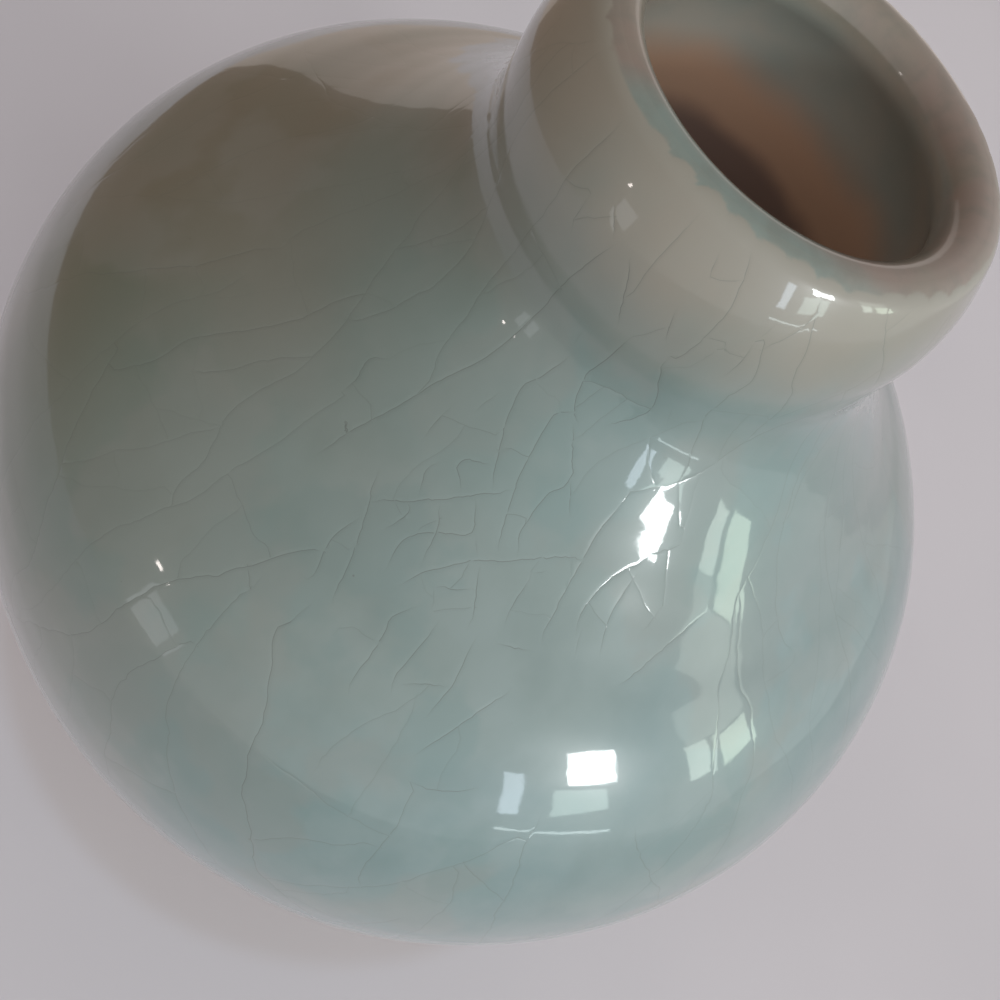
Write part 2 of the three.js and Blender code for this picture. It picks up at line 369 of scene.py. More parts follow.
# Inside of the glazed vase, from the middle of the floor to just past the crest, normals into the wall
wall = BODY_WALL + (HEEL_WALL - BODY_WALL) * (1 - between(roll_edge, 1)) ** 2
bowl_inside = bowl(between(roll_edge, 1))
bowl_inside[:, :2] -= bowl_inside[:, 2:4] * wall[:, None]
heel = bowl_inside[0]
floor_edge = heel[R] + (heel[Z] - FLOOR_HEIGHT) * heel[NZ] / heel[NR]
floor_curve = cubic((0, FLOOR_HEIGHT), (floor_edge / 2, FLOOR_HEIGHT), (floor_edge, FLOOR_HEIGHT), heel[:2])
lip_inside = over_lip(neck_top_angle + math.pi, crest_angle - overlap_angle, LINER_COAT)
lip_inside[:, NR:COAT] *= -1
inside, inside_length = along(np.vstack([
    coated(floor_curve(shares), LINER_COAT),
    coated(bowl_inside, LINER_COAT),
    coated(shifted(dome(between(0, throat_share)), -BODY_WALL), LINER_COAT),
    coated(throat(shares), LINER_COAT),
    coated(shifted(neck_at(between(throat_angle, neck_top_angle)), -LIP_THICKNESS), LINER_COAT),
    lip_inside,
]))


# Height on a map of the outside that keeps angles, as wide everywhere as the belly is round
map_height = np.concatenate([[0], np.cumsum(
    np.diff(outside_length) * 2 * BELLY_RADIUS / (outside[1:, R] + outside[:-1, R])
)])


def radius_at(length):
    return np.interp(length, outside_length, outside[:, R])


def placed(name, data):
    """A new object in the scene."""
    thing = bpy.data.objects.new(name, data)
    bpy.context.collection.objects.link(thing)
    return thing


# Camera and lines of sight
elevation = math.radians(CAMERA_ELEVATION)
outward = Vector((math.cos(elevation), 0, math.sin(elevation)))
ahead = -outward
right = ahead.cross(Vector((0, 0, 1))).normalized()
view_axes = (
    Matrix.Rotation(math.radians(CAMERA_ROLL), 3, "Z")
    @ Matrix.Rotation(math.radians(CAMERA_PITCH), 3, "X")
    @ Matrix.Rotation(math.radians(CAMERA_YAW), 3, "Y")
    @ Matrix((right, ahead.cross(right), ahead))
)
eye = outward * CAMERA_DISTANCE * BELLY_RADIUS + Vector((0, 0, BELLY_HEIGHT))

camera_data = bpy.data.cameras.new("camera")
camera_data.lens = LENS
camera_data.sensor_width = SENSOR
camera_data.clip_start = 0.01
camera_data.clip_end = 50
camera = placed("camera", camera_data)
pose = Matrix((view_axes[0], -view_axes[1], -view_axes[2])).transposed().to_4x4()
pose.translation = eye * MM
camera.matrix_world = pose
bpy.context.scene.camera = camera


def seen_on_skin(across, down):
    """Where on the unrolled outside a point of the picture is seen."""
    focal = LENS / SENSOR * PICTURE_SIDE
    middle = PICTURE_SIDE / 2
    sight = view_axes.transposed() @ Vector(((across - middle) / focal, (down - middle) / focal, 1))
    sight = np.array(sight.normalized())
    start = np.array(eye)
    heights = outside[rising, Z]

    def still_clear(distance):
        x, y, z = start + sight * distance
        if not heights[0] < z < heights[-1]:
            return True
        return math.hypot(x, y) > np.interp(z, heights, outside[rising, R])

    distance = SIGHT_START
    while still_clear(distance):
        distance += SIGHT_STEP
    reached = turning_share(distance - SIGHT_STEP, distance, still_clear)
    x, y, z = start + sight * reached
    return math.atan2(y, x) * BELLY_RADIUS, float(np.interp(z, heights, outside_length[rising]))


# The main cracks of the crackle in the photograph, each by a few points: its pixels across and down
CRACKS_SEEN = [
    [(614, 245), (570, 277), (538, 312), (487, 356), (436, 383), (388, 412), (350, 431), (312, 457)],
    [(630, 257), (627, 280), (616, 328)],
    [(678, 308), (669, 328), (666, 343)],
    [(670, 358), (661, 369), (653, 407), (624, 420), (605, 426)],
    [(632, 337), (605, 361), (587, 374), (575, 407), (579, 423)],
    [(583, 331), (573, 345)],
    [(573, 355), (541, 377), (522, 388), (506, 423), (500, 449), (493, 481), (492, 489)],
    [(575, 412), (554, 415), (535, 446), (516, 484), (505, 519), (498, 554)],
    [(513, 489), (455, 497), (391, 500), (367, 503)],
    [(493, 463), (460, 462), (461, 492)],
    [(442, 461), (426, 471), (418, 497)],
    [(501, 391), (487, 402), (474, 412)],
    [(455, 404), (442, 417), (423, 439)],
    [(379, 468), (366, 512), (353, 554), (337, 592), (331, 606)],
    [(363, 516), (334, 536), (313, 575), (302, 576)],
    [(476, 497), (471, 532), (438, 532), (404, 540), (385, 570)],
    [(441, 501), (438, 525), (420, 567)],
    [(407, 500), (407, 514), (381, 532)],
    [(583, 559), (551, 557), (506, 560), (455, 564), (417, 576), (398, 586)],
    [(476, 535), (477, 557)],
    [(481, 563), (474, 611), (468, 629)],
    [(573, 423), (570, 477), (548, 493), (522, 528), (517, 557)],
    [(571, 477), (571, 516)],
    [(434, 587), (474, 589)],
    [(434, 587), (433, 611)],
    [(417, 607), (391, 618), (382, 637), (353, 678), (347, 694)],
    [(439, 621), (417, 650), (395, 678), (390, 697)],
    [(476, 637), (451, 688), (426, 720)],
    [(532, 573), (525, 586), (508, 615), (505, 628)],
    [(532, 573), (548, 571)],
    [(623, 500), (595, 535), (574, 575), (548, 624), (541, 646)],
    [(646, 557), (605, 583), (581, 615), (576, 634)],
    [(637, 571), (611, 615), (599, 659)],
    [(662, 605), (651, 621), (643, 630)],
    [(706, 612), (668, 645), (630, 679), (617, 687)],
    [(684, 541), (668, 549), (650, 553)],
    [(672, 410), (667, 422)],
    [(313, 602), (296, 615), (286, 627)],
    [(342, 624), (332, 637)],
    [(582, 628), (575, 656)],
    [(264, 575), (251, 591)],
    [(512, 688), (477, 714), (435, 742), (413, 758)],
    [(391, 358), (369, 361), (356, 380), (338, 395)],
    [(496, 645), (531, 650)],
    [(410, 782), (438, 792), (480, 789)],
    [(400, 685), (448, 688)],
    [(720, 252), (714, 268), (710, 281)],
    [(755, 344), (742, 363), (723, 379)],
    [(717, 351), (698, 364)],
    [(776, 325), (761, 338)],
    [(613, 204), (612, 223), (613, 239)],
    [(589, 194), (573, 220), (569, 233)],
]

# A dark fleck in the glaze, as short lines side by side
FLECK_SEEN = [[(344, 421), (346, 433)], [(345, 420), (347, 434)], [(346, 421), (348, 433)]]


def smooth_line(points, step):
    """A smooth line through points, with a new point about every step."""
    points = np.array(points, float)
    padded = np.vstack([2 * points[0] - points[1], points, 2 * points[-1] - points[-2]])
    line = [tuple(points[0])]
    for before, start, end, after in zip(padded, padded[1:], padded[2:], padded[3:]):
        count = max(1, round(math.dist(start, end) / step))
        for share in np.arange(1, count + 1) / count:
            doubled = (
                2 * start + (end - before) * share + (2 * before - 5 * start + 4 * end - after) * share**2
                + (3 * start - before - 3 * end + after) * share**3
            )
            line.append(tuple(doubled / 2))
    return line


class Crackle:
    """Cracks on the unrolled outside, each a line of points with its strength and its open ends."""

    def __init__(self, seed):
        self.random = random.Random(seed)
        self.lines = []
        self.marks = {}
        self.low = CRACK_MARGIN
        self.high = crest_length - CRACK_MARGIN
        self.side = math.pi * BELLY_RADIUS - CRACK_MARGIN

    def cell(self, place):
        return int(place[0] // CRACK_STEP), int(place[1] // CRACK_STEP)

    def add(self, points, strength, open_start, open_end):
        """Keeps a crack, its line made a little ragged."""
        ragged = []
        shift = (0, 0)
        for across, up in points:
            shift = [WOBBLE_KEPT * part + self.random.gauss(0, CRACK_WOBBLE) for part in shift]
            ragged.append((across + shift[0], up + shift[1]))
        self.lines.append((np.array(ragged), strength, open_start, open_end))
        for place in points:
            self.marks.setdefault(self.cell(place), tuple(place))

    def near(self, place, reach):
        """A mark within a number of cells of a place."""
        column, row = self.cell(place)
        for across in range(-reach, reach + 1):
            for up in range(-reach, reach + 1):
                mark = self.marks.get((column + across, row + up))
                if mark:
                    return mark
        return None

    def run(self, start, heading, longest):
        """Carries a crack on from a place, until it meets another, an edge or its longest length."""
        points = [start]
        swerve = 0
        while len(points) * CRACK_STEP < longest:
            swerve = SWERVE_KEPT * swerve + self.random.gauss(0, SWERVE)
            across, up = points[-1]
            stretch = BELLY_RADIUS / radius_at(up)
            across += CRACK_STEP * math.sin(heading + swerve) * stretch
            up += CRACK_STEP * math.cos(heading + swerve)
            if abs(across) > self.side or not self.low < up < self.high:
                break
            mark = self.near((across, up), 1) if len(points) > 3 else None
            points.append(mark or (across, up))
            if mark:
                return points, False
        return points, True

    def grow_long(self, tries, clear_cells, longest):
        """Long cracks that run mostly up and down the body, clear of those before them."""
        for _ in range(tries):
            start = (self.random.uniform(-self.side, self.side), self.random.uniform(self.low, self.high))
            heading = self.random.gauss(0, LONG_SPREAD)
            crowded = self.random.random() > radius_at(start[1]) / BELLY_RADIUS
            if crowded or self.near(start, clear_cells):
                continue
            up, open_up = self.run(start, heading, longest)
            down, open_down = self.run(start, heading + math.pi, longest)
            if len(up) + len(down) > LONG_LEAST_POINTS:
                self.add(up[::-1] + down[1:], self.random.uniform(*LONG_STRENGTHS), open_up, open_down)

    def grow_cross(self, tries, clear_cells, longest):
        """Cracks that branch off at about a right angle and mostly run to the next crack."""
        joints = Crackle(0)
        for _ in range(tries):
            line = self.random.choice(self.lines)[0]
            if len(line) < 8:
                continue
            at = self.random.randrange(3, len(line) - 3)
            start = tuple(line[at])
            if joints.near(start, clear_cells):
                continue
            ahead_on_line = line[at + 1] - line[at - 1]
            side = self.random.choice([-1, 1])
            turn = self.random.gauss(math.pi / 2, CROSS_SPREAD)
            heading = math.atan2(*ahead_on_line) + side * turn
            points, open_end = self.run(start, heading, longest)
            if len(points) > CROSS_LEAST_POINTS:
                self.add(points, self.random.uniform(*CROSS_STRENGTHS), False, open_end)
                joints.add([start, points[-1]], 1, False, False)

    def tracks(self):
        """For each crack its points, the way across it by the millimetre, and its strength at each point."""
        tracks = []
        for points, strength, open_start, open_end in self.lines:
            length = np.concatenate([[0], np.cumsum(np.hypot(*np.diff(points, axis=0).T))])
            taper = np.ones(len(points))
            if open_start:
                taper = np.minimum(taper, OPEN_END_STRENGTH + length / CRACK_TAPER)
            if open_end:
                taper = np.minimum(taper, OPEN_END_STRENGTH + (length[-1] - length) / CRACK_TAPER)
            stretch = BELLY_RADIUS / radius_at(points[:, 1])
            heading = np.gradient(points, axis=0)
            heading[:, 0] /= stretch
            heading /= np.linalg.norm(heading, axis=1)[:, None] + 1e-9
            across = np.stack([heading[:, 1] * stretch, -heading[:, 0]], axis=1)
            front = np.exp(-((points[:, 0] / BELLY_RADIUS - FRONT_AZIMUTH) / FRONT_WIDTH) ** 2)
            side_strength = FAR_SIDE_STRENGTH + (1 - FAR_SIDE_STRENGTH) * front
            tracks.append((points, across, taper * strength * side_strength))
        return tracks


def turned(rows, azimuth):
    """Points and normals of stations, each turned to its azimuth."""
    cosine, sine = np.cos(azimuth), np.sin(azimuth)
    points = np.stack([rows[:, R] * cosine, rows[:, R] * sine, rows[:, Z]], axis=1)
    normals = np.stack([rows[:, NR] * cosine, rows[:, NR] * sine, rows[:, NZ]], axis=1)
    return points, normals


def surface(places):
    """Points of the outside in millimetres, their normals and stations, from places on the unrolled skin."""
    rows = resampled(outside, outside_length, places[:, 1])
    points, normals = turned(rows, places[:, 0] / BELLY_RADIUS)
    return points, normals / np.linalg.norm(normals, axis=1)[:, None], rows


def waves(points, length, seed):
    """A soft random height between about -1 and 1, from sums of waves of about one length."""
    rng = np.random.default_rng(seed)
    height = np.zeros(len(points))
    count = 9
    for _ in range(count):
        direction = rng.normal(size=3)
        direction *= rng.uniform(0.7, 1.4) * 2 * math.pi / length / np.linalg.norm(direction)
        height += np.sin(points @ direction + rng.uniform(0, 2 * math.pi))
    return height / math.sqrt(2 * count)


def made(name, points, faces, node_names, material, attributes=(), sharp_angle=35):
    """A mesh object that rides on the part and stands for its CAD nodes."""
    mesh = bpy.data.meshes.new(name)
    mesh.from_pydata((np.asarray(points) * MM).tolist(), [], faces)
    for label, values in attributes:
        layer = mesh.attributes.new(label, "FLOAT", "POINT")
        layer.data.foreach_set("value", np.asarray(values, np.float32).ravel())
    mesh.validate()
    mesh.shade_smooth()
    mesh.set_sharp_from_angle(angle=math.radians(sharp_angle))
    mesh.materials.append(material)
    piece = placed(name, mesh)
    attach(piece, "root")
    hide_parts(*node_names)


class CrackDepth:
    """How far points are from the nearest crack, and how strong it is there."""

    def __init__(self, tracks):
        self.bottoms = surface(np.vstack([points for points, _, _ in tracks]))[0]
        self.strengths = np.concatenate([strength for _, _, strength in tracks])
        self.first_points = set(np.cumsum([len(points) for points, _, _ in tracks]).tolist())
        self.tree = KDTree(len(self.bottoms))
        for index, point in enumerate(self.bottoms):
            self.tree.insert(point, index)
        self.tree.balance()

    def gap(self, point):
        return self.tree.find(point)[2]

    def nearest(self, point):
        _, index, gap = self.tree.find(point)
        best = (gap, self.strengths[index])
        if gap > 3 * CRACK_STEP:
            return best
        for other in (index - 1, index + 1):
            if other < 0 or other >= len(self.bottoms) or max(index, other) in self.first_points:
                continue
            reach = self.bottoms[other] - self.bottoms[index]
            share = (point - self.bottoms[index]) @ reach / max(reach @ reach, 1e-9)
            share = min(1, max(0, share))
            gap = math.dist(point, self.bottoms[index] + reach * share)
            if gap < best[0]:
                best = (gap, self.strengths[index] * (1 - share) + self.strengths[other] * share)
        return best


# Distances between points of the skin, at lengths along the outline
SPACINGS = [
    (0, EDGE_SPACING),
    (FINE_LOWER_EDGE, EDGE_SPACING),
    (2 * FINE_LOWER_EDGE, SKIN_SPACING),
    (crease_start - FINE_LIP, SKIN_SPACING),
    (crease_start, CREASE_SPACING),
    (crease_end, CREASE_SPACING),
    (skin_length - 2 * FINE_LIP, CREASE_SPACING),
    (skin_length - FINE_LIP, EDGE_SPACING),
]


def spacing_at(length):
    """Distance between points: least at the lower edge and the lip, less in the crease than on the body."""
    return np.interp(length, *zip(*SPACINGS))


def skin_rows():
    """Lengths along the outline at which the skin has a row of points."""
    lengths = [0.0]
    while lengths[-1] < skin_length:
        lengths.append(lengths[-1] + float(spacing_at(lengths[-1])))
    return np.array(lengths) * skin_length / lengths[-1]


def unrolled_skin(tracks, depth):
    """Points and triangles of the unrolled outside, with edges along the bottom and sides of each crack."""
    half = math.pi * BELLY_RADIUS
    lengths = skin_rows()
    ends = np.linspace(-half, half, SKIN_COLUMNS + 1)
    border = [(column, 0.0) for column in ends]
    border += [(half, length) for length in lengths[1:-1]]
    border += [(column, skin_length) for column in ends[::-1]]
    border += [(-half, length) for length in lengths[-2:0:-1]]
    places = list(border)
    edges = [(index, (index + 1) % len(border)) for index in range(len(border))]
    for points, across, strength in tracks:
        width = NARROWEST_CRACK + (1 - NARROWEST_CRACK) * np.minimum(1, strength)
        for offset in (0, -CRACK_HALF_WIDTH, CRACK_HALF_WIDTH, -CRACK_SHOULDER, CRACK_SHOULDER):
            first = len(places)
            places += (points + across * (offset * width)[:, None]).tolist()
            if abs(offset) < CRACK_SHOULDER:
                edges += [(index, index + 1) for index in range(first, len(places) - 1)]
    for row, length in enumerate(lengths[1:-1]):
        count = round(2 * math.pi * radius_at(length) / float(spacing_at(length)))
        columns = -half + 2 * half * (np.arange(count) + 0.5 * (row % 2)) / count
        columns = columns[np.abs(columns) < half - 0.3]
        line = np.stack([columns, np.full(len(columns), length)], axis=1)
        for place, point in zip(line.tolist(), surface(line)[0]):
            if depth.gap(point) > CRACK_SHOULDER + 0.3 * float(spacing_at(length)):
                places.append(place)
    heights = np.interp(np.array(places)[:, 1], outside_length, map_height)
    mapped = [Vector((place[0], height)) for place, height in zip(places, heights)]
    flat, _, faces, _, _, _ = delaunay_2d_cdt(mapped, edges, [], 0, 1e-5, True)
    flat = np.array([tuple(point) for point in flat])
    flat[:, 1] = np.interp(flat[:, 1], map_height, outside_length)

    # The right side is joined to the left side
    left = {round(place[1], 3): index for index, place in enumerate(flat) if place[0] < -half + 1e-3}
    target = np.arange(len(flat))
    for index in np.flatnonzero(flat[:, 0] > half - 1e-3):
        target[index] = left[round(flat[index, 1], 3)]
    used, compact = np.unique(target, return_inverse=True)
    return flat[used], compact[np.array(faces)].tolist(), ends[:-1]


def skin_height(flat, points, rows):
    """The face without cracks: height over the plain outside, thickness, and share of drawn-back glaze."""
    fade = np.clip(np.minimum(flat[:, 1], skin_length - flat[:, 1]) / EDGE_FADE, 0, 1)
    soft = sum(
        waves(points, length, seed) * length / UNDULATION_LENGTHS[0]
        for seed, length in enumerate(UNDULATION_LENGTHS)
    )
    rings = np.sin(2 * math.pi * flat[:, 1] / THROWING_PITCH + flat[:, 0] / BELLY_RADIUS)
    height = rows[:, COAT] - OUTER_COAT
    height += fade * (soft * UNDULATION - UNDULATION_SINK + rings * THROWING_DEPTH)
    drift = THICKNESS_DRIFT * waves(points, length=18, seed=3) * fade
    thickness = (rows[:, COAT] - OUTER_COAT) / OUTER_COAT + drift

    # Over the lip the glaze has drawn back from the crest, down to an edge of small round lobes
    unevenly = 0.8 * waves(points, length=25, seed=6)
    lobes = np.abs(np.cos(flat[:, 0] / BELLY_RADIUS * LIP_LOBES / 2 + unevenly))
    lobe_depth = LIP_LOBE_DEPTH * np.clip(0.6 + 0.6 * waves(points, length=15, seed=5), 0.1, 1.4)
    below_lobes = crest_length - flat[:, 1] - LIP_LOBE_DROP + lobe_depth * lobes
    below_lobes += LIP_LOBE_DRIFT * waves(points, length=9, seed=4)
    height -= LIP_LOBE_STEP * np.clip(0.5 - below_lobes / LIP_LOBE_SLOPE, 0, 1)
    rim = np.clip(0.5 - below_lobes / LIP_LOBE_BLUR, 0, 1)
    return height, thickness, rim


def glaze_cracks():
    """Tracks of the cracks in the photograph, of those grown over the rest, and of the fleck."""
    def traced(pixels, step):
        return smooth_line([seen_on_skin(*pixel) for pixel in pixels], step)

    crackle = Crackle(CRACK_SEED)
    for pixels in CRACKS_SEEN:
        crackle.add(traced(pixels, CRACK_STEP), 1, True, True)
    crackle.grow_long(tries=1500, clear_cells=8, longest=34)
    crackle.grow_cross(tries=2600, clear_cells=7, longest=16)
    for pixels in FLECK_SEEN:
        crackle.add(traced(pixels, FLECK_STEP), FLECK_STRENGTH, True, True)
    return crackle.tracks()


def move_glaze_line(face, flat, points, normals):
    """Makes the lower edge of the glaze rise and fall a little along the clay."""
    wave = GLAZE_LINE_WAVE * np.exp(-flat[:, 1] / GLAZE_LINE_REACH) * waves(points, length=14, seed=8)
    outward_way = points[:, :2] / np.linalg.norm(points[:, :2], axis=1)[:, None]
    face[:, :2] -= outward_way * (normals[:, 2] * wave)[:, None]
    face[:, 2] += wave * np.hypot(normals[:, 0], normals[:, 1])


def skin_back(flat, columns):
    """Points and faces of the back against the clay, in plain rings that share the columns of the edges."""
    at_edge = {}
    for index in np.flatnonzero((flat[:, 1] < 1e-4) | (flat[:, 1] > skin_length - 1e-4)):
        at_edge[(round(flat[index, 0], 3), bool(flat[index, 1] > 1))] = int(index)
    rings = [[at_edge[(round(column, 3), False)] for column in columns]]
    back = []
    for length in np.linspace(0, crest_length, BACK_RINGS):
        ring, normals, _ = surface(np.stack([columns, np.full(len(columns), length)], axis=1))
        first = len(flat) + len(back) * len(columns)
        rings.append(list(range(first, first + len(columns))))
        back.append(ring - normals * OUTER_COAT)
    rings.append([at_edge[(round(column, 3), True)] for column in columns])
    faces = []
    for lower, upper in zip(rings, rings[1:]):
        faces += ring_faces(upper, lower)
    return np.vstack(back), faces


def celadon_skin(material):
    """The outer coat of glaze as a closed solid, its face a mesh that follows every crack."""
    tracks = glaze_cracks()
    depth = CrackDepth(tracks)
    flat, faces, columns = unrolled_skin(tracks, depth)
    points, normals, rows = surface(flat)
    height, thickness, rim = skin_height(flat, points, rows)
    gaps, strengths = np.array([depth.nearest(point) for point in points]).T
    strengths = np.minimum(1, strengths)
    height -= strengths * np.interp(
        gaps, [0, CRACK_HALF_WIDTH, CRACK_SHOULDER], [CRACK_DEPTH, CRACK_SAG, 0]
    )
    stain = strengths * np.interp(gaps, [0, CRACK_HALF_WIDTH], [1, 0])
    face = points + normals * height[:, None]
    move_glaze_line(face, flat, points, normals)
    back, back_faces = skin_back(flat, columns)
    pad = np.zeros(len(back))
    attributes = [
        (label, np.concatenate([values, pad]))
        for label, values in (("crack", stain), ("thickness", thickness), ("rim", rim))
    ]
    made(
        "celadon_skin", np.vstack([face, back]), faces + back_faces, ["outer_glaze"],
        material, attributes, sharp_angle=22,
    )


def ring_faces(lower, upper):
    """Faces between two rings of point numbers, a ring of one repeated point being a pole."""
    faces = []
    for index in range(len(lower)):
        beside = (index + 1) % len(lower)
        corners = dict.fromkeys([lower[index], lower[beside], upper[beside], upper[index]])
        if len(corners) > 2:
            faces.append(list(corners))
    return faces


def turned_solid(name, outline, columns, node_names, material, relief=None):
    """A closed solid of revolution. Its outline runs counterclockwise and may start and end on the axis."""
    azimuths = np.arange(columns) * 2 * math.pi / columns
    points = np.zeros((0, 3))
    rings = []
    for station in outline:
        ring, normals = turned(np.tile(station, (columns, 1)), azimuths)
        if station[R] < 1e-6:
            ring = ring[:1]
        if relief is not None:
            ring = ring + normals[:len(ring)] * relief(ring)[:, None]
        rings.append([len(points) + index % len(ring) for index in range(columns)])
        points = np.vstack([points, ring])
    faces = []
    for lower, upper in zip(rings, rings[1:]):
        faces += ring_faces(lower, upper)
    if outline[0, R] > 1e-6:
        faces += ring_faces(rings[-1], rings[0])
    made(name, points, faces, node_names, material)


def rounded(corners, radii, spacing):
    """A closed outline as stations: its corners rounded, its sides with points about every spacing."""
    def way(start, end):
        return (end - start) / np.linalg.norm(end - start)

    corners = np.array(corners, float)
    line = []
    for index, (corner, radius) in enumerate(zip(corners, radii)):
        following = (index + 1) % len(corners)
        start = corner + way(corner, corners[index - 1]) * radius
        end = corner + way(corner, corners[following]) * radius
        steps = np.linspace(0, 1, 7)[:, None] if radius else np.zeros((1, 1))
        line += list((1 - steps) ** 2 * start + 2 * steps * (1 - steps) * corner + steps**2 * end)
        if following:
            onward = corners[following] + way(corners[following], corner) * radii[following]
            count = max(1, round(math.dist(end, onward) / spacing))
            line += [end + (onward - end) * share for share in np.arange(1, count) / count]
    line = np.array(line)
    heading = np.roll(line, -1, axis=0) - np.roll(line, 1, axis=0)
    return stations(line[:, 0], line[:, 1], heading[:, 1], -heading[:, 0])


def toward(azimuth, elevation):
    """Unit direction from the vase, by degrees round from +X and up from level."""
    a, e = math.radians(azimuth), math.radians(elevation)
    return Vector((math.cos(a) * math.cos(e), math.sin(a) * math.cos(e), math.sin(e)))


class Graph:
    """A node graph, with short calls for what the materials and the world need."""

    def __init__(self, tree, coordinates):
        self.tree = tree
        self.place = tree.nodes.new("ShaderNodeTexCoord").outputs[coordinates]

    def node(self, kind, inputs, output, **settings):
        """Adds a node, sets or links its inputs, and gives one of its outputs."""
        node = self.tree.nodes.new(kind)
        for name, value in settings.items():
            setattr(node, name, value)
        for name, value in inputs.items():
            if isinstance(value, bpy.types.NodeSocket):
                self.tree.links.new(value, node.inputs[name])
            else:
                node.inputs[name].default_value = value
        return node.outputs[output]

    def math(self, operation, *values):
        """A number from sockets or numbers."""
        return self.node("ShaderNodeMath", dict(enumerate(values)), 0, operation=operation)

    def reach(self, direction):
        """How far the place lies in a direction: its dot product with it."""
        inputs = {0: self.place, 1: direction}
        return self.node("ShaderNodeVectorMath", inputs, "Value", operation="DOT_PRODUCT")

    def mix(self, share, first, second, blend="MIX"):
        """The second colour laid over the first, or added to it, by a share."""
        inputs = {0: share, 6: first, 7: second}
        return self.node("ShaderNodeMix", inputs, 2, data_type="RGBA", blend_type=blend)


class Look(Graph):
    """The node graph of a material."""

    def __init__(self, name, roughness, coat=0.0):
        self.material = bpy.data.materials.new(name)
        self.material.use_nodes = True
        super().__init__(self.material.node_tree, "Object")
        self.shader = self.tree.nodes["Principled BSDF"]
        self.shader.inputs["Roughness"].default_value = roughness
        self.shader.inputs["Coat Weight"].default_value = coat
        self.shader.inputs["Coat Roughness"].default_value = 0.045

    def noise(self, size, detail=3, stretch=(1, 1, 1)):
        """Soft noise with features of about a size in millimetres."""
        place = self.node("ShaderNodeVectorMath", {0: self.place, 1: stretch}, 0, operation="MULTIPLY")
        return self.node(
            "ShaderNodeTexNoise", {"Vector": place, "Scale": 1 / (size * MM), "Detail": detail}, "Fac"
        )

    def cells(self, size):
        """Distance from the nearest of many scattered points."""
        inputs = {"Vector": self.place, "Scale": 1 / (size * MM)}
        return self.node("ShaderNodeTexVoronoi", inputs, "Distance")

    def attribute(self, name):
        return self.node("ShaderNodeAttribute", {}, "Fac", attribute_name=name)

    def height(self):
        """Height above the foot in millimetres."""
        z = self.node("ShaderNodeSeparateXYZ", {0: self.place}, "Z")
        return self.math("DIVIDE", z, MM)

    def ramp(self, value, low, high, to_low=0.0, to_high=1.0):
        """A share that goes smoothly from one value to another while an input goes from low to high."""
        return self.node(
            "ShaderNodeMapRange",
            {"Value": value, "From Min": low, "From Max": high, "To Min": to_low, "To Max": to_high},
            "Result", interpolation_type="SMOOTHSTEP",
        )

    def uneven(self, value, size, depth):
        """A value made uneven by noise of a size."""
        return self.math("ADD", value, self.math("MULTIPLY", self.noise(size), depth))

    def bump(self, layers):
        """Joins heights into one normal, each layer a height with its depth in millimetres."""
        total = None
        for value, depth in layers:
            part = self.math("MULTIPLY", value, depth * MM)
            total = self.math("ADD", total, part) if total else part
        return self.node("ShaderNodeBump", {"Strength": 1.0, "Distance": 1.0, "Height": total}, "Normal")

    def finish(self, colour, normal, roughness=None):
        self.tree.links.new(colour, self.shader.inputs["Base Color"])
        self.tree.links.new(normal, self.shader.inputs["Normal"])
        if self.shader.inputs["Coat Weight"].default_value:
            self.tree.links.new(normal, self.shader.inputs["Coat Normal"])
        if roughness:
            self.tree.links.new(roughness, self.shader.inputs["Roughness"])
        return self.material


# Colours of the outer glaze, the lip and the liner
GLAZE_BLUE = (0.138, 0.215, 0.213, 1)
GLAZE_GREEN = (0.165, 0.222, 0.205, 1)
GLAZE_MOTTLE = (0.205, 0.265, 0.255, 1)
GLAZE_STREAK = (0.115, 0.175, 0.165, 1)
GLAZE_TEAL = (0.118, 0.2, 0.193, 1)
# Olive and brown of one side: partly the glaze's own tone, partly painted shade
GLAZE_OLIVE = (0.108, 0.116, 0.077, 1)
GLAZE_BROWN = (0.14, 0.122, 0.082, 1)
GLAZE_PALE = (0.2, 0.195, 0.17, 1)
GLAZE_BUFF = (0.26, 0.214, 0.16, 1)
GLAZE_THICK = (0.125, 0.21, 0.195, 1)
GLAZE_THIN = (0.235, 0.215, 0.17, 1)
SPECK = (0.06, 0.05, 0.035, 1)
STAIN = (0.07, 0.085, 0.07, 1)
LIP_BUFF = (0.19, 0.16, 0.12, 1)
LIP_PINK = (0.205, 0.15, 0.118, 1)
LIP_GREY = (0.155, 0.195, 0.168, 1)
LIP_DARK = (0.115, 0.115, 0.09, 1)
LINER_GREEN = (0.3, 0.32, 0.285, 1)
LINER_BUFF = (0.37, 0.34, 0.29, 1)
# Painted shade inside the neck: warm brown, then dark deeper down
LINER_WARM_SHADE = (0.55, 0.35, 0.24, 1)
LINER_DEEP_SHADE = (0.25, 0.17, 0.14, 1)


def rim_colour(look):
    """Colour of the thin glaze on the crest of the lip: pinkish brown, but grey-green on one side."""
    greyer = look.uneven(look.reach(toward(5, 0) / MM), 8, 8)
    pink = look.mix(look.ramp(look.noise(13), 0.4, 0.6), LIP_BUFF, LIP_PINK)
    colour = look.mix(look.ramp(greyer, 17, 23), pink, LIP_GREY)
    return look.mix(look.ramp(look.noise(2.2), 0.4, 0.7, 0, 0.35), colour, LIP_DARK)


